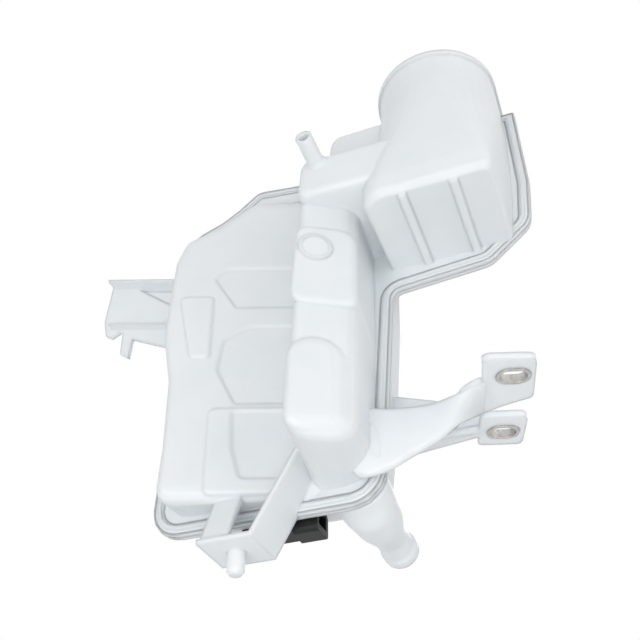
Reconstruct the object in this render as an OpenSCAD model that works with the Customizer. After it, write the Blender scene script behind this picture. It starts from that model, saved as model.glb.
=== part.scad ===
// Coolant expansion tank: two moulded half shells welded along a flange.
// Frame: X to the right, Z up, Y from the front shell to the rear shell.
// The origin is the root of the locating peg, where the foot rests on the car's grommet.

/* [Shells] */
// Wall thickness of the mouldings
wall = 2.6; // [2:0.1:3]
// Thickness of each half of the weld flange
flange_t = 3; // [2.5:0.5:4]
// Height of the ridge on the flange's outer face
ridge_h = 1.2; // [0.6:0.1:2]
// Depth of the rear shell behind the weld plane
rear_depth = 40; // [36:1:44]

/* [Low chamber] */
// Left end of the chamber at the weld plane
left_x = -112; // [-116:0.5:-111]
// Depth of the chamber's face at its left end
chamber_depth = 32; // [30:1:36]
// Lean of the chamber's face towards the weld plane, per mm to the right
chamber_lean = 0.36; // [0.3:0.01:0.38]
// Radius of the chamber's moulded edges
chamber_edge = 8; // [6:0.5:9]
// Depth of the recesses in the chamber's face
recess = 1.6; // [1:0.1:2]

/* [Column] */
// Depth of the column's face at its left edge
column_depth = 62; // [60:0.5:63]
// Lean of the column's face towards the weld plane, per mm to the right
column_lean = 0.6; // [0.5:0.05:0.65]
// Height of the raised panels on the column's face
panel_raise = 2.5; // [1.5:0.5:3]
// Depth of the block beside the dome
head_depth = 65; // [63:0.5:67]

/* [Filler dome] */
// Distance of the dome's axis to the right of the column
dome_x = 70; // [69:0.5:76]
// Radius of the dome's wall near its top
dome_r = 37; // [36:0.5:37.5]
// Radius of the rim on the dome's top
rim_r = 38.5; // [38:0.5:39.5]
// Height of the dome above the horn's underside
dome_h = 118; // [114:1:122]
// Radius of the filler neck outside its thread
neck_r = 21; // [20:0.5:22]
// Radius of the filler neck's bore
neck_bore_r = 17; // [16:0.5:18]
// Height of the filler neck above the dome
neck_h = 22; // [18:1:24]

/* [Hose ends] */
// Radius of the vent nipple
nipple_r = 5; // [4:0.25:5.5]
// Radius of the vent nipple's bore
nipple_bore_r = 3; // [2.5:0.25:3.5]
// Length of the vent nipple in front of the block
nipple_len = 20; // [18:1:26]
// Radius of the lower hose spigot
spigot_r = 9.5; // [9:0.25:10]
// Radius of the lower hose spigot's bore
spigot_bore_r = 7; // [6.5:0.25:7.25]
// Length of the lower hose spigot behind the rear shell
spigot_len = 38; // [34:1:44]
// Height of the bead that holds the hose
bead_h = 1.2; // [0.8:0.1:1.5]

/* [Mounting arms] */
// Height of the arm plates' underside above the tank's floor
arm_rise = 32; // [30:0.5:34]
// Thickness of the arm plates and webs
arm_t = 4; // [3.5:0.5:4.5]
// Turn of the arm plates about the vertical
arm_turn = 17; // [15:1:19]
// Distance between the two sleeves
arm_pitch = 51; // [50:0.5:54]
// Half width of the sleeve's slot
slot_r = 4.6; // [4:0.2:5]
// Distance between the slot's two end centres
slot_travel = 4.4; // [3:0.2:4.6]
// Wall of the metal sleeves
sleeve_wall = 1.6; // [1.4:0.1:1.8]
// Height of the metal sleeves
sleeve_h = 5; // [4.6:0.2:6]

/* [Bottom bracket] */
// Radius of the locating peg
peg_r = 4.5; // [4:0.25:5.5]
// Length of the locating peg
peg_len = 12; // [10:0.5:16]
// Width of the bracket's strip along the depth
strip_w = 30; // [28:1:32]
// Thickness of the bracket's strip
strip_t = 2.6; // [2.4:0.2:4]

/* [Level sensor] */
// Radius of the sensor's stem
stem_r = 3.5; // [3:0.25:4]
// Length of the sensor's stem
stem_len = 60; // [56:1:62]
// Radius of the float
float_r = 11.5; // [11:0.5:12]
// Height of the float
float_h = 16; // [14:0.5:18]
// Travel of the float between its stops
float_travel = 28; // [24:1:30]
// Running gap round the float
float_gap = 1; // [0.6:0.1:1.2]

/* [Hidden] */
$fn = 48;
arc_steps = 3;
plastic = [0.93, 0.95, 0.96];

function unit(v) = v / norm(v);
function left_of(v) = [-v[1], v[0]];
function wrap(i, n) = (i + n) % n;
function cross2(a, b) = a[0] * b[1] - a[1] * b[0];
function flat(list) = [for (part = list) each part];

// Corners are [x, z, radius] in anticlockwise order.
function turn_at(c, i) =
    let (n = len(c), a = c[wrap(i - 1, n)], b = c[i], d = c[wrap(i + 1, n)])
    cross2([b[0] - a[0], b[1] - a[1]], [d[0] - b[0], d[1] - b[1]]);

function grow_corner(c, i, d) =
    let (n = len(c), a = c[wrap(i - 1, n)], b = c[i], e = c[wrap(i + 1, n)],
         n0 = -left_of(unit([b[0] - a[0], b[1] - a[1]])),
         n1 = -left_of(unit([e[0] - b[0], e[1] - b[1]])),
         shift = d * (n0 + n1) / (1 + n0 * n1),
         r = turn_at(c, i) > 0 ? b[2] + d : b[2] - d)
    [b[0] + shift[0], b[1] + shift[1], max(r, 0.5)];

function grow(c, d) = [for (i = [0 : len(c) - 1]) grow_corner(c, i, d)];

function corner_arc(a, b, c, r) =
    let (u = unit([a[0] - b[0], a[1] - b[1]]), v = unit([c[0] - b[0], c[1] - b[1]]),
         half = acos(u * v) / 2, reach = r / tan(half),
         p = [b[0], b[1]] + u * reach, q = [b[0], b[1]] + v * reach,
         mid = [b[0], b[1]] + unit(u + v) * r / sin(half),
         s0 = p - mid, s1 = q - mid,
         sweep = atan2(cross2(s0, s1), s0 * s1))
    [for (k = [0 : arc_steps])
        let (t = sweep * k / arc_steps)
        mid + [s0[0] * cos(t) - s0[1] * sin(t), s0[0] * sin(t) + s0[1] * cos(t)]];

function outline(c) =
    let (n = len(c))
    flat([for (i = [0 : n - 1]) corner_arc(c[wrap(i - 1, n)], c[i], c[wrap(i + 1, n)], c[i][2])]);

// A closed skin through rings of points, from the rear ring to the front ring.
module loft(rings) {
    n = len(rings[0]);
    m = len(rings);
    sides = flat([for (k = [0 : m - 2]) for (j = [0 : n - 1])
        let (j1 = (j + 1) % n, a = k * n + j, b = k * n + j1, c = b + n, d = a + n)
        [[a, c, b], [a, d, c]]]);
    polyhedron(points = flat(rings),
               faces = concat(sides, [[for (j = [0 : n - 1]) j]],
                              [[for (j = [n - 1 : -1 : 0]) (m - 1) * n + j]]),
               convexity = 8);
}

function ring_y(c, depth) = [for (p = outline(c)) [p[0], -depth, p[1]]];

// A ring on a leaning face: depth at x = x_at, less lean for each mm to the right.
function ring_lean(c, depth, lean, x_at) =
    [for (p = outline(c)) [p[0], -max(depth - lean * (p[0] - x_at), 0.5), p[1]]];

// A moulded bulge from its outline at the weld plane to the outline of its face, with a rounded
// edge. cut is how far the surface lies inside the outer one, and back is where it starts.
module bulge(rear_c, face_c, depth, lean, x_at, r, cut, back) {
    r_in = max(r - cut, 1);
    rings = concat(
        [ring_y(grow(rear_c, -cut), back)],
        [for (a = [0, 30, 60, 90])
            ring_lean(grow(face_c, -cut - r_in * (1 - cos(a))),
                      depth - cut - r_in * (1 - sin(a)), lean, x_at)]);
    loft(rings);
}

// The moulded form is joined as one mesh, because it has only smooth and flat faces.
module moulded() {
    resize([0, 0, 0]) children();
}

floor_z = 48;
horn_floor_z = 187;
dome_top_z = horn_floor_z + dome_h;
dome_y = 25;
arm_z = floor_z + arm_rise;

// Outlines of the low chamber: at the weld plane, at its face, and at the rear shell's face.
chamber_rear = [
    [left_x + 4, floor_z, 10], [-4, floor_z, 9], [-4, 276, 6], [left_x + 50, 280, 8],
    [left_x + 36, 270, 8], [left_x + 26, 263, 10], [left_x + 6, 255, 12], [left_x, 240, 12],
    [left_x + 0.5, 176, 14], [left_x + 7.5, 145, 14], [left_x + 8, 80, 12]];
chamber_face = [
    [left_x + 9, floor_z - 4.5, 8], [-8, floor_z - 4.5, 9], [-8, 267, 6], [left_x + 48, 267, 8],
    [left_x + 34, 252, 8], [left_x + 28, 245, 10], [left_x + 8, 231, 12], [left_x + 3, 212, 12],
    [left_x + 2, 152, 12], [left_x + 8, 119, 14], [left_x + 9.4, 76, 12]];
chamber_x = left_x + 14;

rear_weld = [
    [left_x + 4, floor_z, 10], [9, floor_z, 16], [10.5, 85, 20], [14, 172, 20], [16, 250, 8],
    [-4, 274, 9], [left_x + 50, 280, 8], [left_x + 36, 270, 8], [left_x + 26, 263, 10],
    [left_x + 6, 255, 12], [left_x, 240, 12], [left_x + 0.5, 176, 14], [left_x + 7.5, 145, 14],
    [left_x + 7.5, 80, 12]];
rear_face = [
    [left_x + 12, floor_z + 1, 9], [7, floor_z + 1, 12], [12, 85, 20], [19, 165, 20],
    [22, 235, 9], [-8, 262, 9], [left_x + 52, 265, 10], [left_x + 36, 252, 10],
    [left_x + 28, 246, 10], [left_x + 10, 238, 12], [left_x + 5, 222, 12], [left_x + 5, 165, 14],
    [left_x + 11, 135, 14], [left_x + 11, 80, 12]];

// The column, its raised panel and its arched foot panel.
column_x = -13.5;
column_rear = [[-25.5, floor_z, 9], [8, floor_z, 16], [10.5, 85, 20], [15, 212, 8], [-22, 212, 8]];
column_face = [[-17.6, floor_z, 9], [13, floor_z, 12], [14, 85, 20], [17, 212, 8], [-12, 212, 8]];
panel_rear = [[-18, 125, 7], [12.5, 125, 7], [14, 186, 8], [-16, 186, 8]];
panel_face = [[-15.2, 126.6, 7], [16.5, 126.6, 7], [17, 183.7, 8], [-12.2, 183.7, 8]];
arch_rear = [[-21, floor_z + 2, 8], [8, floor_z + 3, 10], [11, 105, 14], [-19, 105, 14]];
arch_face = [[-17.6, floor_z + 1, 8], [11, floor_z + 3, 10], [12, 107, 14], [-16.5, 107, 14]];
head_rear = [[-20, 200, 9], [dome_x - 20, 200, 9], [dome_x - 20, 240, 6], [-20, 240, 8]];
head_face = [[-12, 203, 5], [dome_x - 22, 203, 5], [dome_x - 22, 234, 5], [-10, 234, 7]];
shoulder_rear = [[-14, 210, 8], [dome_x - 20, 210, 8], [dome_x - 20, 284, 6], [-12, 284, 9]];
shoulder_face = [[-5, 215, 8], [dome_x - 20, 215, 8], [dome_x - 20, 281, 5], [0, 281, 9]];

// Horn and dome, lofted upwards: each ring is [z, left x, right x, front y, left r, right r].
horn_rings = [
    [horn_floor_z, dome_x - 43, dome_x + 27, 61, 11, 3],
    [horn_floor_z + 3, dome_x - 45, dome_x + 29.5, 65, 13, 5],
    [horn_floor_z + 13, dome_x - 45, dome_x + 31, 66, 15, 7],
    [horn_floor_z + 30, dome_x - 43, dome_x + 33, 66, 20, 13],
    [horn_floor_z + 55, dome_x - 40, dome_x + 35, 65, 29, 24],
    [horn_floor_z + 80, dome_x - 38, dome_x + 36.5, 63.5, 35, 33],
    [dome_top_z - 18, dome_x - dome_r, dome_x + dome_r, dome_y + dome_r, dome_r, dome_r],
    [dome_top_z - 3, dome_x - dome_r, dome_x + dome_r, dome_y + dome_r, dome_r, dome_r]];

function horn_ring(h, cut, back) =
    let (x0 = h[1] + cut, x1 = h[2] - cut, y1 = -(h[3] - cut), n = 7,
         most = (x1 - x0) / 2 - 0.6,
         a = min(max(h[4] - cut, 1), most), b = min(max(h[5] - cut, 1), most))
    concat(
        [[x1, back, h[0]], [x0, back, h[0]]],
        [for (k = [0 : n]) [x0 + a - a * cos(90 * k / n), y1 + a - a * sin(90 * k / n), h[0]]],
        [for (k = [0 : n]) [x1 - b + b * sin(90 * k / n), y1 + b - b * cos(90 * k / n), h[0]]]);

module horn(cut, back) {
    last = len(horn_rings) - 1;
    rings = [for (i = [0 : last])
        let (h = horn_rings[i], dz = i == 0 ? cut : i == last ? -cut : 0)
        [for (p = horn_ring(h, cut, back)) [p[0], p[1], p[2] + dz]]];
    loft(rings);
}

// Recesses and raised pads of the chamber's face.
window = [[-69, 171, 2], [-26, 171, 2], [-26, 205, 2], [-76, 205, 6], [-83, 195, 4]];
round_recess = [[-66, 101, 4], [-26, 101, 4], [-26, 158, 2], [-60, 158, 12], [-75, 147, 8],
                [-77, 125, 8]];
float_recess = [[-60, 54, 4], [-30, 54, 4], [-30, 97, 2], [-66.5, 97, 3], [-65, 72, 8]];
left_pad = [
    [left_x + 20, 132, 3], [left_x + 33, 132, 4], [left_x + 32, 181, 3], [left_x + 10, 181, 4]];
low_pad = [[-78, floor_z - 3, 4], [-26, floor_z - 3, 4], [-26, 99.5, 3], [-79, 99.5, 5]];

module chamber_pad(c, cut, back) {
    bulge(c, grow(c, -1), chamber_depth + recess, chamber_lean, chamber_x, 1.5, cut, back);
}

module chamber_dent(c, below) {
    loft([ring_lean(grow(c, -1.5), chamber_depth - below, chamber_lean, chamber_x),
          ring_lean(grow(c, 3), chamber_depth + 4, chamber_lean, chamber_x)]);
}

// Front half of everything that holds coolant, or its inside when cut is the wall.
module front_form(cut) {
    back = cut > 0 ? -1 : 0;
    difference() {
        union() {
            bulge(chamber_rear, chamber_face, chamber_depth, chamber_lean, chamber_x,
                  chamber_edge, cut, back);
            chamber_pad(left_pad, cut, back);
            chamber_pad(low_pad, cut, back);
        }
        chamber_dent(window, recess + cut);
        chamber_dent(round_recess, recess + cut);
        chamber_dent(float_recess, cut);
    }
    bulge(column_rear, column_face, column_depth, column_lean, column_x, 7, cut, back);
    bulge(panel_rear, panel_face, column_depth + panel_raise, column_lean, column_x, 3.4, cut, back);
    bulge(arch_rear, arch_face, column_depth + panel_raise, column_lean, column_x, 7, cut, back);
    bulge(head_rear, head_face, head_depth, 0.02, column_x, 4, cut, back);
    bulge(shoulder_rear, shoulder_face, 41, 0, 0, 6, cut, back);
    horn(cut, -back);
}

horn_rear_weld = [
    [2, horn_floor_z, 6], [dome_x + 10, horn_floor_z, 10], [dome_x + 31, 205, 10],
    [dome_x + 36, 299, 8], [dome_x - 36, 299, 8], [dome_x - 36, 284, 3], [2, 284, 9]];
horn_rear_face = [
    [8, horn_floor_z + 3, 6], [dome_x + 8, horn_floor_z + 3, 10], [dome_x + 27, 208, 10],
    [dome_x + 31, 295, 8], [dome_x - 32, 295, 8], [dome_x - 32, 280, 3], [6, 280, 9]];

module rear_form(cut) {
    back = cut > 0 ? -1 : 0;
    mirror([0, 1, 0]) {
        bulge(rear_weld, rear_face, rear_depth, 0, 0, 8, cut, back);
        bulge(horn_rear_weld, horn_rear_face, 20, 0, 0, 6, cut, back);
    }
}

// Weld flange: its outer edge, and a ridge along the middle of its face.
flange_edge = [
    [left_x - 7, floor_z - 11, 17], [13, floor_z - 11, 20], [18, 92, 30], [24.8, 171, 7],
    [dome_x + 14, 176, 14], [dome_x + 41, 199, 16], [dome_x + 45, 232, 14],
    [dome_x + 45.5, 299, 1.5], [dome_x - 37, 299, 1.5], [dome_x - 37, 287, 3], [-30, 287, 5],
    [left_x + 45, 293, 9], [left_x + 30, 280, 8], [left_x + 18, 272, 10], [left_x, 265, 12],
    [left_x - 9, 252, 12], [left_x - 10, 200, 14], [left_x - 7, 174, 12], [left_x - 1.5, 146, 12],
    [left_x - 1.5, 84, 12], [left_x - 6.5, 66, 10]];

module weld_flange() {
    rotate([90, 0, 0]) {
        linear_extrude(flange_t) polygon(outline(flange_edge));
        linear_extrude(flange_t + ridge_h)
            difference() {
                polygon(outline(grow(flange_edge, -3)));
                polygon(outline(grow(flange_edge, -5)));
            }
    }
}

// Obround bar standing on z = 0, centred on the origin.
module obround(r, travel, h) {
    for (s = [-1, 1]) translate([s * travel / 2, 0, 0]) cylinder(r = r, h = h);
    translate([-travel / 2, -r, 0]) cube([travel, 2 * r, h]);
}

near_hole = [87.5, -22];
far_hole = near_hole + arm_pitch * [-sin(arm_turn), cos(arm_turn)];
sleeve_r = slot_r + sleeve_wall;
press_gap = 0.02;

module at_hole(hole, z) {
    translate([hole[0], hole[1], z]) rotate(arm_turn) children();
}

module sleeve_hole(hole) {
    at_hole(hole, arm_z - 5) obround(sleeve_r + press_gap, slot_travel, 20);
}

module metal_sleeve(hole) {
    at_hole(hole, arm_z - (sleeve_h - arm_t) / 2)
        difference() {
            obround(sleeve_r, slot_travel, sleeve_h);
            translate([0, 0, -1]) obround(slot_r, slot_travel, sleeve_h + 2);
        }
}

// Arm plate round its sleeve, in the plate's own turned frame.
module arm_plate(hole, c) {
    at_hole(hole, arm_z) linear_extrude(arm_t) polygon(outline(c));
}

near_plate_c = [[-16.5, -14.8, 4], [9.8, -14, 4], [12, 18.8, 4], [-2.3, 25.9, 6],
                [-13.9, 33.5, 1.5], [-15, 5.5, 4]];
far_plate_c = [[-13, -15, 3], [11.5, -15, 4], [11.5, 13, 3.5], [-13, 13, 3.5]];

// Near arm: a strip that stands upright at the tank and twists flat into its plate.
// Each section holds its lower and upper edge on the front side.
twist = [
    [[6, -15, floor_z - 2], [6, -17.5, arm_z + 4]],
    [[18, -15, floor_z - 1], [20, -14, arm_z + 2]],
    [[30, -15, floor_z + 4], [34, -13.5, arm_z]],
    [[42, -14, floor_z + 9.5], [46, -14, arm_z - 0.5]],
    [[52, -12, floor_z + 15.5], [57, -16, arm_z + 0.5]],
    [[59, -4, floor_z + 23.5], [65, -19, arm_z + 0.5]],
    [[66, 5.6, arm_z], [72, -21.5, arm_z]],
    [[74, 3, arm_z], [76, -24, arm_z]]];

function twist_ring(s) =
    let (d = unit([s[1][1] - s[0][1], s[1][2] - s[0][2]]), out = arm_t * [d[1], -d[0]])
    [s[0], s[0] + [0, out[0], out[1]], s[1] + [0, out[0], out[1]], s[1]];

module near_arm() {
    loft([for (s = twist) twist_ring(s)]);
    arm_plate(near_hole, near_plate_c);
}

far_web_y = 23;

module far_arm() {
    translate([0, far_web_y + arm_t, 0])
        rotate([90, 0, 0])
            linear_extrude(arm_t)
                polygon([[8, 117], [8, 74], [30, 77], [63, arm_z], [63, 91], [38, 106]]);
    translate([0, 0, arm_z])
        linear_extrude(arm_t)
            polygon([[8, far_web_y], [60, far_web_y - 2], [66, 18], [66, 36],
                     [58, far_web_y + arm_t], [8, far_web_y + arm_t]]);
    arm_plate(far_hole, far_plate_c);
}

// Bent strip under the floor with the peg that drops into the body's grommet.
foot_z = 16;
foot_left_x = -75;
foot_bend_x = -45.5;
strip_rise = 1.77;
peg_x = -60;

module bracket_strip() {
    rotate([90, 0, 0])
        linear_extrude(strip_w)
            polygon([[foot_left_x, foot_z], [foot_bend_x, foot_z],
                     [foot_bend_x + 49 / strip_rise, foot_z + 49],
                     [foot_bend_x + 49 / strip_rise - 1.15 * strip_t, foot_z + 49],
                     [foot_bend_x - 0.58 * strip_t, foot_z + strip_t],
                     [foot_left_x, foot_z + strip_t]]);
    // Post from the strip's front edge to the chamber's floor.
    translate([foot_left_x + 1, 0, 0])
        rotate([90, 0, 90])
            linear_extrude(15)
                polygon([[-strip_w, foot_z], [-strip_w + 2.6, foot_z], [-11, floor_z + 1.5],
                         [-14.5, floor_z + 1.5]]);
}

module locating_peg() {
    translate([peg_x, -strip_w / 2, foot_z - peg_len]) {
        cylinder(r1 = peg_r - 1.5, r2 = peg_r, h = 2);
        translate([0, 0, 2]) cylinder(r = peg_r, h = peg_len - 2 + strip_t / 2);
    }
}

module in_frame() {
    translate([-peg_x, strip_w / 2, -foot_z]) children();
}

nipple_x = 0.5;
nipple_z = 228.4;

module vent_nipple() {
    translate([nipple_x, -head_depth + wall / 2, nipple_z])
        rotate([90, 0, 0]) {
            cylinder(r = nipple_r, h = nipple_len + wall / 2);
            translate([0, 0, wall / 2 - 0.5]) cylinder(r1 = nipple_r + 1.5, r2 = nipple_r, h = 2.1);
        }
}

module vent_bore() {
    translate([nipple_x, -head_depth + 12, nipple_z])
        rotate([90, 0, 0]) cylinder(r = nipple_bore_r, h = nipple_len + 20);
}

module filler_neck() {
    translate([dome_x, -dome_y, dome_top_z - 4]) {
        cylinder(r = neck_r, h = neck_h + 4);
        translate([0, 0, neck_h - 2]) cylinder(r = neck_r + 1, h = 2);
    }
}

module dome_rim() {
    translate([dome_x, -dome_y, dome_top_z - 4]) cylinder(r = rim_r, h = 4);
    translate([dome_x - rim_r, -dome_y, dome_top_z - 4]) cube([2 * rim_r, dome_y, 4]);
}

module underside_ribs() {
    for (x = [dome_x - 21, dome_x + 8])
        translate([x - 2.5, -61, horn_floor_z - 2.5]) cube([5, 61, 6]);
}

// Round boss on the column's raised panel, square to its leaning face.
module panel_boss() {
    boss_x = -2.5;
    translate([boss_x, -(column_depth + panel_raise - column_lean * (boss_x - column_x)), 166])
        rotate([90, 0, atan(column_lean)])
            difference() {
                translate([0, 0, -2]) cylinder(r = 9.5, h = 3.4);
                translate([0, 0, 0.7]) cylinder(r = 7.8, h = 2);
            }
}

module near_shell() {
    color(plastic) in_frame()
        difference() {
            union() {
                moulded() {
                    difference() {
                        union() {
                            front_form(0);
                            weld_flange();
                            underside_ribs();
                            near_arm();
                            bracket_strip();
                        }
                        front_form(wall);
                    }
                }
                locating_peg();
                vent_nipple();
                dome_rim();
                filler_neck();
                panel_boss();
                float_stop();
            }
            sleeve_hole(near_hole);
            vent_bore();
            translate([dome_x, -dome_y, dome_top_z - 20]) cylinder(r = neck_bore_r, h = neck_h + 40);
        }
}

spigot_x = -1.7;
spigot_z = 46.5;
sump_r = spigot_r + 3.5;
sump_y = 22;
bead_y = rear_depth + spigot_len - 6;

module hose_spigot() {
    translate([spigot_x, 0, spigot_z]) rotate([-90, 0, 0]) {
        translate([0, 0, sump_y]) cylinder(r = sump_r, h = rear_depth - sump_y - 4);
        translate([0, 0, rear_depth - 4]) cylinder(r1 = sump_r, r2 = spigot_r, h = 16);
        translate([0, 0, rear_depth]) cylinder(r = spigot_r, h = spigot_len);
        translate([0, 0, bead_y - 2]) cylinder(r1 = spigot_r, r2 = spigot_r + bead_h, h = 2);
        translate([0, 0, bead_y]) cylinder(r = spigot_r + bead_h, h = 6);
    }
}

module spigot_bore() {
    translate([spigot_x, 0, spigot_z]) rotate([-90, 0, 0]) {
        translate([0, 0, sump_y + wall])
            cylinder(r = sump_r - wall, h = rear_depth - sump_y - 4 - 2 * wall);
        translate([0, 0, rear_depth - 4 - 3 * wall])
            cylinder(r = spigot_bore_r, h = spigot_len + 20);
    }
}

// Level sensor: a float rides on a closed pocket that takes the sensor's stem from below.
stem_x = -59;
stem_y = 12.5;
stem_gap = 0.25;
pocket_wall = 1.6;
pocket_r = stem_r + stem_gap + pocket_wall;
collar_z = floor_z - 3;
pocket_top_z = collar_z + stem_len + pocket_wall + 1.5;
float_rest_z = 71;
float_bore_r = pocket_r + float_gap;
stop_z = float_rest_z + float_h + float_travel;
collar_r = 9;
seal_r = 6.5;

module at_stem(z) {
    translate([stem_x, stem_y, z]) children();
}

module sensor_pocket() {
    at_stem(floor_z) cylinder(r = pocket_r, h = pocket_top_z - floor_z);
    at_stem(collar_z) cylinder(r = collar_r, h = floor_z - collar_z + wall / 2);
    for (turn = [0, 90])
        at_stem(floor_z + wall / 2) rotate(turn + 45)
            translate([-8.5, -0.9, 0]) cube([17, 1.8, float_rest_z - floor_z - wall / 2]);
}

module stem_hole() {
    at_stem(collar_z - 1) cylinder(r = stem_r + stem_gap, h = pocket_top_z - collar_z + 1 - pocket_wall);
    at_stem(collar_z - 1) cylinder(r = seal_r, h = 4);
}

// Rib of the front shell that ends the float's travel.
stop_x = stem_x - 4;
stop_w = 12;
stop_t = 2.5;
stop_reach = 5;

module float_stop() {
    inset = recess + 0.4;
    front = chamber_depth - chamber_lean * (stop_x + stop_w - chamber_x) - inset;
    translate([stop_x, -front, stop_z]) cube([stop_w, front + stop_reach, stop_t]);
}

module far_shell() {
    color(plastic) in_frame()
        difference() {
            union() {
                moulded() {
                    difference() {
                        union() {
                            rear_form(0);
                            mirror([0, 1, 0]) weld_flange();
                        }
                        rear_form(wall);
                    }
                    far_arm();
                    side_bracket();
                }
                hose_spigot();
                sensor_pocket();
            }
            sleeve_hole(far_hole);
            spigot_bore();
            stem_hole();
        }
}

// Bracket at the left that hooks the tank to its neighbour.
side_y = 18;
side_t = 3;
side_lip = 10;
side_edge = 2.6;
side_end_x = left_x - 82;
side_end_z = 262.5;
side_root_z = 236.8;

module side_slab(thick, points) {
    translate([0, side_y + side_t, 0]) rotate([90, 0, 0]) linear_extrude(thick) polygon(points);
}

module side_bracket() {
    difference() {
        side_slab(side_t, [
            [side_end_x, side_end_z], [left_x, side_root_z], [left_x + 4, 180],
            [left_x - 28, 190], [left_x - 57, 205], [left_x - 58, 189], [left_x - 65, 194],
            [left_x - 66, 212], [left_x - 69, 214.5], [left_x - 75, 211], [left_x - 80, 214],
            [side_end_x - 1.5, 227]]);
        translate([0, -1, 0])
            side_slab(side_t + 2, [[left_x - 58, side_end_z - 12], [left_x - 8, side_root_z - 2],
                                   [left_x - 8, 210]]);
    }
    side_slab(side_lip, [[side_end_x, side_end_z], [left_x, side_root_z],
                         [left_x, side_root_z - side_edge],
                         [side_end_x + 0.2, side_end_z - side_edge]]);
    side_slab(7, [[left_x - 76, 221], [left_x, 199], [left_x, 197], [left_x - 76, 219]]);
}

module near_sleeve() {
    color("silver") in_frame() metal_sleeve(near_hole);
}

module far_sleeve() {
    color("silver") in_frame() metal_sleeve(far_hole);
}

socket_x = -25.5;
socket_z = 33.5;
socket_wall = 2;
socket_deep = 11;
body_left_x = stem_x - 9;
body_w = 14;
body_h = collar_z - socket_z;

module sensor_body() {
    color([0.1, 0.1, 0.1]) in_frame()
        difference() {
            union() {
                at_stem(collar_z - 1) cylinder(r = stem_r, h = stem_len + 1);
                at_stem(collar_z - 1) cylinder(r = seal_r - 1.5, h = 3.5);
                translate([body_left_x, stem_y - body_w / 2, socket_z])
                    cube([socket_x - body_left_x, body_w, body_h]);
            }
            translate([socket_x - socket_deep, stem_y - body_w / 2 + socket_wall,
                       socket_z + socket_wall])
                cube([socket_deep + 1, body_w - 2 * socket_wall, body_h - 2 * socket_wall]);
            at_stem(collar_z + stem_len - 20) cylinder(r = 1.6, h = 40);
        }
}

module sensor_seal() {
    color([0.2, 0.2, 0.2]) in_frame()
        at_stem(collar_z)
            difference() {
                cylinder(r = seal_r, h = 2.5);
                translate([0, 0, -1]) cylinder(r = seal_r - 1.5, h = 5);
            }
}

module sensor_terminals() {
    color("gold") in_frame()
        for (s = [-1, 1])
            translate([socket_x - socket_deep, stem_y + s * 2.5 - 1, socket_z + body_h / 2 - 0.4])
                cube([6, 2, 0.8]);
}

module reed_capsule() {
    color("gold") in_frame()
        at_stem(collar_z + stem_len - 20) cylinder(r = 1.6, h = 16);
}

magnet_t = 3;
float_skin = 1.5;
magnet_z = float_rest_z + float_h - magnet_t - 1;

module level_float() {
    color([0.9, 0.85, 0.5]) in_frame()
        difference() {
            at_stem(float_rest_z) cylinder(r = float_r, h = float_h);
            at_stem(float_rest_z - 1) cylinder(r = float_bore_r, h = float_h + 2);
            at_stem(magnet_z) cylinder(r = float_r - float_skin, h = magnet_t + 2);
        }
}

module float_magnet() {
    color([0.3, 0.3, 0.3]) in_frame()
        at_stem(magnet_z)
            difference() {
                cylinder(r = float_r - float_skin, h = magnet_t);
                translate([0, 0, -1]) cylinder(r = float_bore_r, h = magnet_t + 2);
            }
}

near_shell();
far_shell();
near_sleeve();
far_sleeve();
sensor_body();
sensor_seal();
sensor_terminals();
reed_capsule();
level_float();
float_magnet();
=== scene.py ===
"""Coolant expansion tank: finishes, moulded details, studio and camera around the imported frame."""

import math

import bmesh
import bpy
from mathutils import Matrix, Vector


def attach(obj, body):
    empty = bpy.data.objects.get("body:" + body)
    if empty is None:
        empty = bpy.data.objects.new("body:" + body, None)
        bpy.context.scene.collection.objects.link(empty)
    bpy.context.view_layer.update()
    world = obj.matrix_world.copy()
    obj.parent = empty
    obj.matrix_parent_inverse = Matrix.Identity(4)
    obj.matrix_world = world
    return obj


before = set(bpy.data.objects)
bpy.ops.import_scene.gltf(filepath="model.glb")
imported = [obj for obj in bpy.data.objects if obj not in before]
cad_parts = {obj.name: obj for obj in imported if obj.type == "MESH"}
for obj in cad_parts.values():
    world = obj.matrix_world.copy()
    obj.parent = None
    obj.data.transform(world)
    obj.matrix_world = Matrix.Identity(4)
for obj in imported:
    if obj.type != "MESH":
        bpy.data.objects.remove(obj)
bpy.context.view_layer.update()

MM = 0.001

# The tank's own drawing coordinates start this far from the frame's origin, in millimetres.
DRAWING = Vector((60, 15, -16))

# Weld flange: thickness of one half, and the corners [x, z, radius] of its outer edge.
FLANGE_T = 3
FLANGE_EDGE = [
    (-119, 37, 17), (13, 37, 20), (18, 92, 30), (24.8, 171, 7), (84, 176, 14), (111, 199, 16),
    (115, 232, 14), (115.5, 299, 1.5), (33, 299, 1.5), (33, 287, 3), (-30, 287, 5),
    (-67, 293, 9), (-82, 280, 8), (-94, 272, 10), (-112, 265, 12), (-121, 252, 12),
    (-122, 200, 14), (-119, 174, 12), (-113.5, 146, 12), (-113.5, 84, 12), (-118.5, 66, 10)]

# Lines moulded on each flange's outer face: name, inset from its edge, width and height, and
# how far their feet sink into the face.
FLANGE_LINES = (("flange_line", 6.6, 1.2, 0.45), ("flange_lip", 0.9, 1.4, 0.4))
LINE_SINK = 0.15
LINE_STEPS = 6

# Weld flash: its inset from the flange's edge, its radius and its number of sides.
FLASH_INSET = 0.15
FLASH_R = 0.45
FLASH_SIDES = 8

# Near arm's web: its thickness, how far its smooth skin stands off each side, how much the skin
# draws in at the flat plate, and how far its round edges reach past the solid's.
ARM_T = 4
WEB_SKIN = 0.5
WEB_DRAW_IN = 1.25
WEB_EDGE = 0.4
WEB_STEPS = 8

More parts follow.
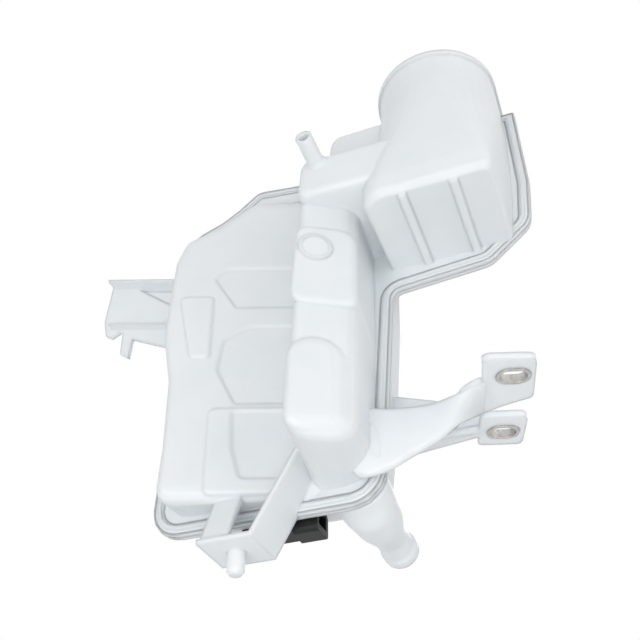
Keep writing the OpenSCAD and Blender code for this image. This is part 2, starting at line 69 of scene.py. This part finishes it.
# The web's lower and upper edge, from inside the column to the flat plate.
WEB_LOWER = [(0, -15, 51), (6, -15, 46), (18, -15, 47), (30, -15, 52), (42, -14, 57.5),
             (52, -12, 63.5), (59, -4, 71.5), (66, 5.6, 80), (74, 3, 80)]
WEB_UPPER = [(0, -17.5, 84), (6, -17.5, 84), (20, -14, 82), (34, -13.5, 80), (46, -14, 79.5),
             (57, -16, 80.5), (65, -19, 80.5), (72, -21.5, 80), (76, -24, 80)]

# Funnel from the rear shell's floor to the lower hose spigot: its rings
# [y, middle x, middle z, half width, half height].
FUNNEL = [(4.5, -4, 52, 17.5, 13.5), (12, -3.4, 50.6, 16.6, 13.9), (20, -2.6, 48.6, 15.4, 15.4),
          (26, -2.1, 47.3, 14.5, 14.5), (32, -1.8, 46.7, 13.9, 13.8), (37, -1.7, 46.5, 13.4, 13.4),
          (44, -1.7, 46.5, 11.9, 11.9), (51, -1.7, 46.5, 10.2, 10.2), (57, -1.7, 46.5, 9.4, 9.4)]
FUNNEL_STEPS = 5
FUNNEL_SIDES = 48

# Shroud round the level sensor's socket: its ends along x, and its outer and inner rectangle
# [y low, y high, z low, z high, corner radius].
SHROUD_ENDS = (-39, -25.1)
SHROUD_OUTER = (4.5, 20.6, 31.4, 45.2, 3)
SHROUD_INNER = (7.3, 17.7, 35.3, 43.2, 1)

# Filler neck: centre and outer radius.
NECK = Vector((70, -25, 0))
NECK_R = 21

# Its thread: height of its start and end, turns, half width at its foot and its crest, how far
# it stands out in full and at its thin ends, how deep its foot sits, and how fast it tapers.
THREAD_LOW = 309
THREAD_HIGH = 321
THREAD_TURNS = 2.25
THREAD_FOOT = 1.6
THREAD_CREST = 0.6
THREAD_OUT = 1.0
THREAD_THIN = 0.05
THREAD_SINK = 0.4
THREAD_TAPER = 14
THREAD_STEPS = 160

# Share by which a plain finish's mottle goes darker and lighter.
MOTTLE = 0.15


class Finish:
    """A node material with its Principled shader, built a node at a time."""

    def __init__(self, name, colour, roughness, metallic=0.0):
        self.material = bpy.data.materials.new(name)
        self.material.use_nodes = True
        self.nodes = self.material.node_tree.nodes
        self.links = self.material.node_tree.links
        self.shader = self.nodes["Principled BSDF"]
        self.shader.inputs["Base Color"].default_value = (*colour, 1)
        self.shader.inputs["Roughness"].default_value = roughness
        self.shader.inputs["Metallic"].default_value = metallic
        self.place = self.nodes.new("ShaderNodeTexCoord").outputs["Object"]
        self.normal = None

    def noise(self, scale, detail):
        """Noise on the piece's own coordinates, with scale in turns per metre."""
        node = self.nodes.new("ShaderNodeTexNoise")
        node.inputs["Scale"].default_value = scale
        node.inputs["Detail"].default_value = detail
        self.links.new(self.place, node.inputs["Vector"])
        return node.outputs["Fac"]

    def ramp(self, value, stops):
        """Colour for each value, between stops of a place and a colour."""
        node = self.nodes.new("ShaderNodeValToRGB")
        ends = node.color_ramp.elements
        while len(ends) < len(stops):
            ends.new(0.5)
        for end, (at, colour) in zip(ends, stops):
            end.position = at
            end.color = (*colour, 1)
        self.links.new(value, node.inputs["Fac"])
        return node.outputs["Color"]

    def colour(self, value):
        """Gives the surface a colour that changes over it."""
        self.links.new(value, self.shader.inputs["Base Color"])

    def soft_edges(self, radius):
        """Rounds the look of sharp edges by that radius in metres."""
        node = self.nodes.new("ShaderNodeBevel")
        node.samples = 8
        node.inputs["Radius"].default_value = radius
        self.normal = node.outputs["Normal"]
        self.links.new(self.normal, self.shader.inputs["Normal"])

    def bump(self, height, strength, distance):
        """Fine relief on top of what already bends the surface, with distance in metres."""
        node = self.nodes.new("ShaderNodeBump")
        node.inputs["Strength"].default_value = strength
        node.inputs["Distance"].default_value = distance
        if self.normal is not None:
            self.links.new(self.normal, node.inputs["Normal"])
        self.links.new(height, node.inputs["Height"])
        self.normal = node.outputs["Normal"]
        self.links.new(self.normal, self.shader.inputs["Normal"])


def milky_plastic():
    """Natural polypropylene: milky, slightly see-through, with a soft gloss."""
    finish = Finish("milky_polypropylene", (0.88, 0.905, 0.925), 0.36)
    finish.shader.inputs["Subsurface Weight"].default_value = 0.3
    finish.shader.inputs["Subsurface Radius"].default_value = (1.0, 1.0, 1.0)
    finish.shader.inputs["Subsurface Scale"].default_value = 0.003
    finish.shader.inputs["Transmission Weight"].default_value = 0.12
    finish.shader.inputs["IOR"].default_value = 1.49
    clouds = finish.noise(24, 5)
    finish.colour(finish.ramp(clouds, [(0.3, (0.84, 0.885, 0.915)), (0.7, (0.90, 0.928, 0.945))]))
    finish.soft_edges(0.003)
    finish.bump(finish.noise(140, 3), 0.10, 0.0006)
    finish.bump(finish.noise(900, 2), 0.05, 0.0004)
    return finish.material


def zinc_steel():
    """Zinc-plated steel of the sleeves, with its mottled plating."""
    finish = Finish("zinc_plated_steel", (0.62, 0.61, 0.58), 0.35, 1.0)
    mottle = finish.noise(500, 4)
    finish.colour(finish.ramp(mottle, [(0.3, (0.42, 0.41, 0.39)), (0.7, (0.62, 0.61, 0.58))]))
    finish.soft_edges(0.0004)
    finish.bump(finish.noise(1500, 2), 0.1, 0.0002)
    return finish.material


def plain_finish(name, colour, roughness, metallic=0.0):
    """A finish of one colour with a slight mottle and grain."""
    finish = Finish(name, colour, roughness, metallic)
    finish.shader.inputs["Specular IOR Level"].default_value = 0.3
    dark = tuple(c * (1 - MOTTLE) for c in colour)
    light = tuple(min(1, c * (1 + MOTTLE)) for c in colour)
    finish.colour(finish.ramp(finish.noise(300, 3), [(0.3, dark), (0.7, light)]))
    finish.soft_edges(0.0004)
    finish.bump(finish.noise(1200, 2), 0.08, 0.0002)
    return finish.material


tank_plastic = milky_plastic()
sensor_black = plain_finish("sensor_black", (0.008, 0.009, 0.009), 0.45)
finishes = {
    "near_shell": tank_plastic,
    "far_shell": tank_plastic,
    "near_sleeve": zinc_steel(),
    "sensor_body": sensor_black,
    "sensor_seal": plain_finish("seal_rubber", (0.03, 0.03, 0.03), 0.6),
    "sensor_terminals": plain_finish("tinned_brass", (0.7, 0.6, 0.38), 0.3, 1.0),
    "reed_capsule": plain_finish("reed_glass", (0.6, 0.7, 0.65), 0.1),
    "level_float": plain_finish("float_foam", (0.72, 0.62, 0.36), 0.7),
    "float_magnet": plain_finish("ferrite", (0.09, 0.09, 0.1), 0.5),
}
finishes["far_sleeve"] = finishes["near_sleeve"]

for node, material in finishes.items():
    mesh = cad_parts[node].data
    mesh.materials.clear()
    mesh.materials.append(material)


def keep(mesh, name, material, smooth=True):
    """Turns a bmesh in drawing millimetres into a piece that rides on the tank."""
    bmesh.ops.recalc_face_normals(mesh, faces=mesh.faces)
    bmesh.ops.translate(mesh, vec=DRAWING, verts=mesh.verts)
    bmesh.ops.scale(mesh, vec=(MM, MM, MM), verts=mesh.verts)
    for face in mesh.faces:
        face.smooth = smooth
    data = bpy.data.meshes.new(name)
    mesh.to_mesh(data)
    mesh.free()
    data.materials.append(material)
    obj = bpy.data.objects.new(name, data)
    bpy.context.scene.collection.objects.link(obj)
    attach(obj, "tank")


def join_rings(mesh, rings, around=False):
    """Faces from each closed ring to the next, and to the first again or with closed ends."""
    count = len(rings[0])
    followers = rings[1:] + rings[:1] if around else rings[1:]
    for a, b in zip(rings, followers):
        for k in range(count):
            mesh.faces.new((a[k], a[(k + 1) % count], b[(k + 1) % count], b[k]))
    if not around:
        mesh.faces.new(rings[0])
        mesh.faces.new(list(reversed(rings[-1])))


def rounded_outline(corners, inset, steps=8):
    """Points (x, z) of a corner list with its corners rounded, moved inwards by inset."""
    count = len(corners)
    moved = []
    for i, (x, z, r) in enumerate(corners):
        before = Vector(corners[i - 1][:2])
        after = Vector(corners[(i + 1) % count][:2])
        here = Vector((x, z))
        a = (here - before).normalized()
        b = (after - here).normalized()
        left_a, left_b = Vector((-a.y, a.x)), Vector((-b.y, b.x))
        shift = inset * (left_a + left_b) / (1 + left_a.dot(left_b))
        turn = a.x * b.y - a.y * b.x
        moved.append((here + shift, max(r - inset if turn > 0 else r + inset, 0.5)))
    points = []
    for i, (here, r) in enumerate(moved):
        u = (moved[i - 1][0] - here).normalized()
        v = (moved[(i + 1) % count][0] - here).normalized()
        half = math.acos(max(-1, min(1, u.dot(v)))) / 2
        reach = r / math.tan(half)
        start, end = here + u * reach, here + v * reach
        middle = here + (u + v).normalized() * r / math.sin(half)
        s0, s1 = start - middle, end - middle
        sweep = math.atan2(s0.x * s1.y - s0.y * s1.x, s0.dot(s1))
        for k in range(steps + 1):
            t = sweep * k / steps
            points.append(middle + Vector((s0.x * math.cos(t) - s0.y * math.sin(t),
                                           s0.x * math.sin(t) + s0.y * math.cos(t))))
    return points


def with_sides(points):
    """Each point of a closed outline with the direction across the outline there."""
    count = len(points)
    for i, point in enumerate(points):
        along = (points[(i + 1) % count] - points[i - 1]).normalized()
        yield point, Vector((-along.y, along.x))


def moulded_line(name, inset, width, height, out):
    """Rounded ridge along the flange on its outer face; out is 1 or -1 along Y."""
    angles = [math.pi * k / LINE_STEPS for k in range(LINE_STEPS + 1)]
    section = [(math.cos(a), math.sin(a)) for a in angles]
    mesh = bmesh.new()
    rings = []
    for point, side in with_sides(rounded_outline(FLANGE_EDGE, inset)):
        ring = []
        for across, up in section:
            at = point + side * across * width / 2
            y = out * FLANGE_T + out * (up * height - LINE_SINK)
            ring.append(mesh.verts.new((at.x, y, at.y)))
        rings.append(ring)
    join_rings(mesh, rings, around=True)
    keep(mesh, name, tank_plastic)


def through(points, t):
    """Point at t on a smooth curve through the points, with t counted in points."""
    last = len(points) - 1
    i = min(int(t), last - 1)
    f = t - i
    a, b, c, d = (Vector(points[max(0, min(last, k))]) for k in (i - 1, i, i + 1, i + 2))
    return 0.5 * (2 * b + (c - a) * f + (2 * a - 5 * b + 4 * c - d) * f ** 2
                  + (3 * b - a - 3 * c + d) * f ** 3)


def arm_web():
    """Smooth skin of the near arm's web, which stands upright at the tank and twists flat."""
    mesh = bmesh.new()
    steps = WEB_STEPS * (len(WEB_LOWER) - 1)
    nearby = 0.05
    edge_steps = 4
    rings = []
    for i in range(steps + 1):
        t = i / WEB_STEPS
        last_stretch = max(0, t - (len(WEB_LOWER) - 2))
        half = ARM_T / 2 + WEB_SKIN - WEB_DRAW_IN * last_stretch
        low, high = through(WEB_LOWER, t), through(WEB_UPPER, t)
        across = (high - low).normalized()
        ahead = (through(WEB_LOWER, t + nearby) + through(WEB_UPPER, t + nearby)
                 - through(WEB_LOWER, t - nearby) - through(WEB_UPPER, t - nearby)).normalized()
        out = ahead.cross(across).normalized() * -1
        middle = out * ARM_T / 2
        ring = []
        for end, way in ((low, -1), (high, 1)):
            for k in range(edge_steps + 1):
                a = math.pi * (k / edge_steps - 0.5)
                reach = across * way * (math.cos(a) * half - ARM_T / 2 + WEB_EDGE)
                side = out * math.sin(a) * half * way
                ring.append(mesh.verts.new(end + middle + reach + side))
        rings.append(ring)
    join_rings(mesh, rings)
    keep(mesh, "near_arm_web", tank_plastic)


def spigot_funnel():
    """Smooth funnel from the rear shell's floor to the lower hose spigot."""
    mesh = bmesh.new()
    angles = [2 * math.pi * j / FUNNEL_SIDES for j in range(FUNNEL_SIDES)]
    rings = []
    for i in range(FUNNEL_STEPS * (len(FUNNEL) - 1) + 1):
        y, x, z, wide, high = through(FUNNEL, i / FUNNEL_STEPS)
        rings.append([mesh.verts.new((x + wide * math.cos(a), y, z + high * math.sin(a)))
                      for a in angles])
    join_rings(mesh, rings)
    keep(mesh, "spigot_funnel", tank_plastic)


def rounded_rectangle(low_y, high_y, low_z, high_z, r, steps=5):
    """Points (y, z) of a rectangle with rounded corners."""
    points = []
    corners = ((high_y - r, high_z - r), (low_y + r, high_z - r),
               (low_y + r, low_z + r), (high_y - r, low_z + r))
    for i, (y, z) in enumerate(corners):
        for k in range(steps + 1):
            a = math.pi / 2 * (i + k / steps)
            points.append((y + r * math.cos(a), z + r * math.sin(a)))
    return points


def sensor_shroud():
    """Thicker frame round the level sensor's socket."""
    mesh = bmesh.new()
    loops = []
    for x, rectangle in ((SHROUD_ENDS[0], SHROUD_OUTER), (SHROUD_ENDS[1], SHROUD_OUTER),
                         (SHROUD_ENDS[1], SHROUD_INNER), (SHROUD_ENDS[0], SHROUD_INNER)):
        loops.append([mesh.verts.new((x, y, z)) for y, z in rounded_rectangle(*rectangle)])
    join_rings(mesh, loops, around=True)
    keep(mesh, "sensor_shroud", sensor_black, smooth=False)


def cap_thread():
    """Ridge that winds round the filler neck, with tapered ends."""
    mesh = bmesh.new()
    rings = []
    for i in range(THREAD_STEPS + 1):
        t = i / THREAD_STEPS
        turn = 2 * math.pi * THREAD_TURNS * t
        rise = min(1, min(t, 1 - t) * THREAD_TAPER)
        crest = THREAD_THIN + (THREAD_OUT - THREAD_THIN) * rise
        middle = THREAD_LOW + (THREAD_HIGH - THREAD_LOW) * t
        ring = []
        for reach, up in ((-THREAD_SINK, -THREAD_FOOT), (crest, -THREAD_CREST),
                          (crest, THREAD_CREST), (-THREAD_SINK, THREAD_FOOT)):
            r = NECK_R + reach
            ring.append(mesh.verts.new(
                (NECK.x + r * math.cos(turn), NECK.y + r * math.sin(turn), middle + up)))
        rings.append(ring)
    join_rings(mesh, rings)
    keep(mesh, "cap_thread", tank_plastic, smooth=False)


def weld_flash():
    """Thin bead of plastic squeezed out where the two halves are welded."""
    mesh = bmesh.new()
    rings = []
    for point, side in with_sides(rounded_outline(FLANGE_EDGE, FLASH_INSET)):
        ring = []
        for k in range(FLASH_SIDES):
            a = 2 * math.pi * k / FLASH_SIDES
            at = point + side * FLASH_R * math.cos(a)
            ring.append(mesh.verts.new((at.x, FLASH_R * math.sin(a), at.y)))
        rings.append(ring)
    join_rings(mesh, rings, around=True)
    keep(mesh, "weld_flash", tank_plastic)


for shell, out in (("near", -1), ("far", 1)):
    for line, inset, width, height in FLANGE_LINES:
        moulded_line(f"{shell}_{line}", inset, width, height, out)
arm_web()
spigot_funnel()
sensor_shroud()
cap_thread()
weld_flash()

# Studio, in metres: strength of the world as light on the tank, the floor's height and half
# width, and how much the floor glows where the backdrop shows.
WORLD_LIGHT = 0.64
FLOOR_Z = -1.2
FLOOR_REACH = 12
FLOOR_GLOW = 0.36

# Camera: its place, the directions to its right and up, and its lens.
CAMERA_PLACE = Vector((0.180, -0.355, -0.178))
CAMERA_RIGHT = Vector((0.934, 0.358, 0.0))
CAMERA_UP = Vector((0.228, -0.594, 0.772))
LENS_MM = 47.8
SENSOR_MM = 36

# Soft lamps, all aimed at the tank's middle: name, place, width and power in watts.
MIDDLE = Vector((0.02, 0.0, 0.14))
LAMPS = (("key", Vector((0.1, -0.95, -0.6)), 0.9, 7.4),
         ("fill", Vector((0.95, -0.4, 0.1)), 0.9, 2.2),
         ("rim", Vector((-0.2, 0.9, 0.8)), 0.8, 5))


def backdrop_rays(nodes, links):
    """1 for rays that show the backdrop: straight, in a reflection or through clear plastic."""
    path = nodes.new("ShaderNodeLightPath")
    seen = path.outputs["Is Camera Ray"]
    for ray in ("Is Glossy Ray", "Is Transmission Ray"):
        either = nodes.new("ShaderNodeMath")
        either.operation = "MAXIMUM"
        links.new(seen, either.inputs[0])
        links.new(path.outputs[ray], either.inputs[1])
        seen = either.outputs[0]
    return seen


def white_world():
    """White wherever the backdrop shows, and dimmer as light on the object."""
    world = bpy.data.worlds.new("studio")
    world.use_nodes = True
    bpy.context.scene.world = world
    nodes, links = world.node_tree.nodes, world.node_tree.links
    strength = nodes.new("ShaderNodeMapRange")
    strength.inputs["To Min"].default_value = WORLD_LIGHT
    strength.inputs["To Max"].default_value = 1.0
    links.new(backdrop_rays(nodes, links), strength.inputs["Value"])
    background = nodes["Background"]
    background.inputs["Color"].default_value = (1, 1, 1, 1)
    links.new(strength.outputs["Result"], background.inputs["Strength"])


def floor_paint():
    """Pale matt paint that shows as near white, with the shadows kept."""
    paint = Finish("floor_paint", (0.8, 0.8, 0.8), 0.8)
    grain = paint.noise(3, 2)
    paint.colour(paint.ramp(grain, [(0.3, (0.79, 0.79, 0.79)), (0.7, (0.81, 0.81, 0.81))]))
    glow = paint.nodes.new("ShaderNodeMath")
    glow.operation = "MULTIPLY"
    glow.inputs[1].default_value = FLOOR_GLOW
    paint.links.new(backdrop_rays(paint.nodes, paint.links), glow.inputs[0])
    paint.shader.inputs["Emission Color"].default_value = (1, 1, 1, 1)
    paint.links.new(glow.outputs[0], paint.shader.inputs["Emission Strength"])
    return paint.material


def floor():
    """Plain pale floor far below the tank."""
    mesh = bmesh.new()
    bmesh.ops.create_grid(mesh, x_segments=1, y_segments=1, size=FLOOR_REACH)
    bmesh.ops.translate(mesh, vec=(0, 0, FLOOR_Z), verts=mesh.verts)
    data = bpy.data.meshes.new("studio_floor")
    mesh.to_mesh(data)
    mesh.free()
    obj = bpy.data.objects.new("studio_floor", data)
    bpy.context.scene.collection.objects.link(obj)
    data.materials.append(floor_paint())


def lamp(name, place, size, power):
    """Square soft lamp that faces the tank's middle."""
    light = bpy.data.lights.new(name, "AREA")
    light.shape = "SQUARE"
    light.size = size
    light.energy = power
    obj = bpy.data.objects.new(name, light)
    obj.location = place
    aim = MIDDLE - place
    obj.rotation_euler = aim.to_track_quat("-Z", "Y").to_euler()
    bpy.context.scene.collection.objects.link(obj)


def camera():
    """Camera at the photograph's viewing angle, from the front right and below."""
    data = bpy.data.cameras.new("camera")
    data.lens = LENS_MM
    data.sensor_width = SENSOR_MM
    data.clip_start = 0.01
    data.clip_end = 50
    obj = bpy.data.objects.new("camera", data)
    back = CAMERA_RIGHT.cross(CAMERA_UP).normalized()
    up = back.cross(CAMERA_RIGHT).normalized()
    turn = Matrix((CAMERA_RIGHT.normalized(), up, back)).transposed()
    obj.matrix_world = Matrix.Translation(CAMERA_PLACE) @ turn.to_4x4()
    bpy.context.scene.collection.objects.link(obj)
    bpy.context.scene.camera = obj


white_world()
floor()
camera()
for name, place, size, power in LAMPS:
    lamp(name, place, size, power)

bpy.context.scene.view_settings.view_transform = "Standard"
